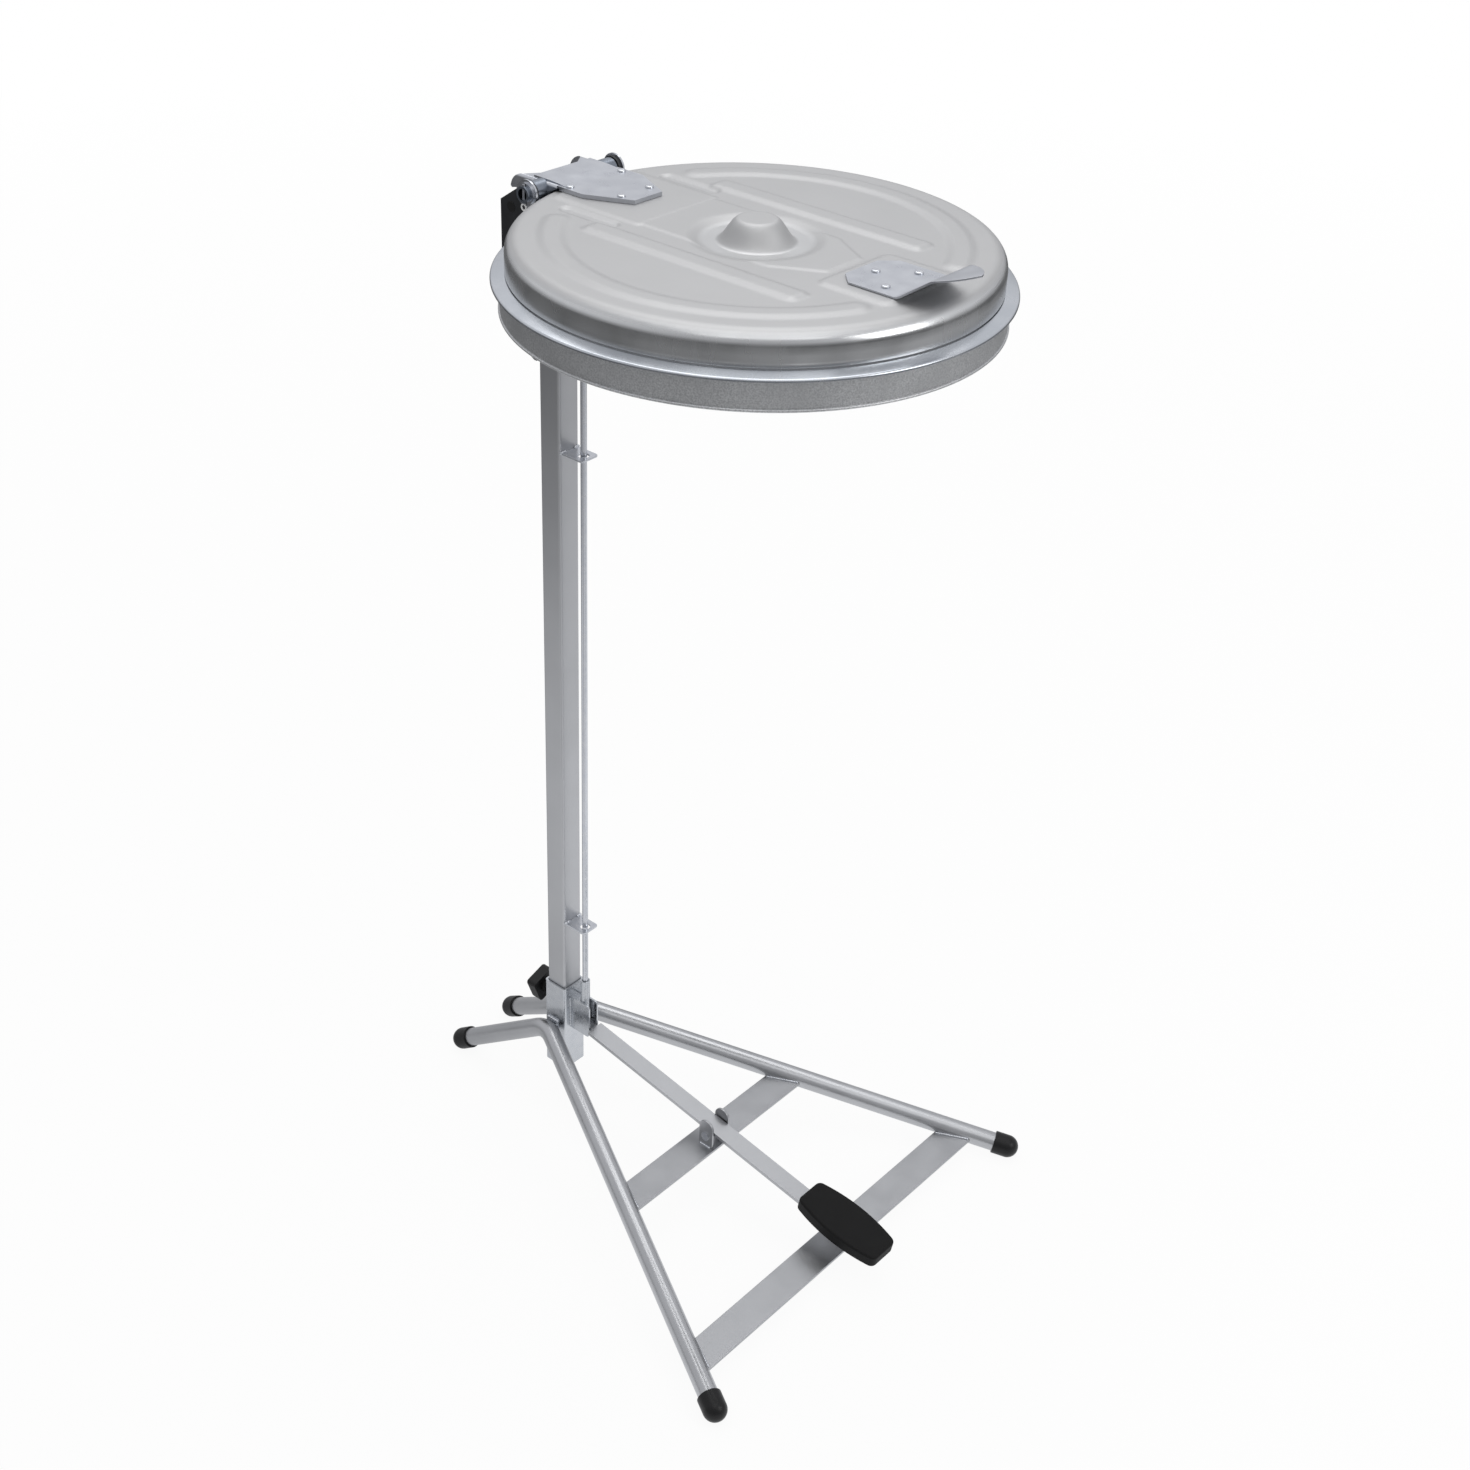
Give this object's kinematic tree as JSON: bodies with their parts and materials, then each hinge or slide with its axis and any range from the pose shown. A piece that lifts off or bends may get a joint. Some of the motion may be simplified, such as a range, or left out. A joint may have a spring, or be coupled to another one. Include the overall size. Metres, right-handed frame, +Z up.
{
  "type": "bin bag holder",
  "caption": "Floor-standing bin bag holder: round bag ring with a hinged steel lid on a square post, opened by a foot pedal and push rod.",
  "frame": {"origin": "axis of the post at the floor", "axes": "+Z up, -Y towards the pedal side, +X to the right seen from the pedal"},
  "size_m": [0.499, 0.5768, 1.0496],
  "materials": {
    "zinc_steel": "zinc plated, smooth",
    "lid_steel": "satin",
    "hinge_steel": "blue-white zinc",
    "dark_bracket": "matt",
    "black_rubber": "matt",
    "black_plastic": "matt",
    "bright_fasteners": "bright zinc"
  },
  "bodies": {
    "stand": {"bracket_bolts": "bright_fasteners", "cap_front_left": "black_rubber", "cap_front_right": "black_rubber", "cap_rear_left": "black_rubber", "cap_rear_right": "black_rubber", "clamp_nut": "bright_fasteners", "cross_bar_front": "zinc_steel", "cross_bar_rear": "zinc_steel", "guide_lug_lower": "zinc_steel", "guide_lug_upper": "zinc_steel", "head_bracket": "dark_bracket", "hinge_tube": "hinge_steel", "hinge_washer_left": "hinge_steel", "hinge_washer_right": "hinge_steel", "leg_left": "zinc_steel", "leg_right": "zinc_steel", "lever_bracket": "zinc_steel", "pivot_ear_left": "zinc_steel", "pivot_ear_right": "zinc_steel", "pivot_pin": "bright_fasteners", "post": "zinc_steel", "post_cap": "black_plastic", "ring_band": "zinc_steel", "ring_flange": "zinc_steel", "rod_guide_tube": "zinc_steel", "sleeve": "zinc_steel", "split_pins": "bright_fasteners"},
    "pedal": {"pedal_lever": "zinc_steel", "pedal_hub": "zinc_steel", "pedal_pad": "black_rubber", "pad_screws": "bright_fasteners"},
    "rod": {"push_rod": "zinc_steel", "rod_head": "zinc_steel"},
    "lid": {"lid": "lid_steel", "hinge_plate": "hinge_steel", "hinge_backing": "hinge_steel", "hinge_bush_left": "hinge_steel", "hinge_bush_right": "hinge_steel", "hinge_rivets": "bright_fasteners", "lift_cheek_left": "lid_steel", "lift_cheek_right": "lid_steel", "lift_roller": "hinge_steel", "handle_plate": "zinc_steel", "handle_rivets": "bright_fasteners"},
    "knob": {"clamp_knob": "black_plastic", "clamp_screw": "bright_fasteners"}
  },
  "joints": [
    {"name": "lid_hinge", "type": "hinge", "parent": "stand", "child": "lid", "pos_m": [0, -0.0174, 1.0205], "axis": [-1, 0, 0], "range_deg": [0, 77]},
    {"name": "pedal_pivot", "type": "hinge", "parent": "stand", "child": "pedal", "pos_m": [0, -0.217, 0.06362], "axis": [1, 0, 0], "range_deg": [0, 4.55]},
    {"name": "rod_slide", "type": "slide", "parent": "stand", "child": "rod", "axis": [0, 0, 1], "range_m": [0, 0.0158]},
    {"name": "knob_turn", "type": "hinge", "parent": "stand", "child": "knob", "pos_m": [0, 0.0275, 0.12], "axis": [0, 1, 0], "continuous": true}
  ],
  "couplings": [
    {"joint": "pedal_pivot", "follows": "lid_hinge", "ratio": 0.0586},
    {"joint": "rod_slide", "follows": "lid_hinge", "m_per_rad": 0.011682}
  ]
}
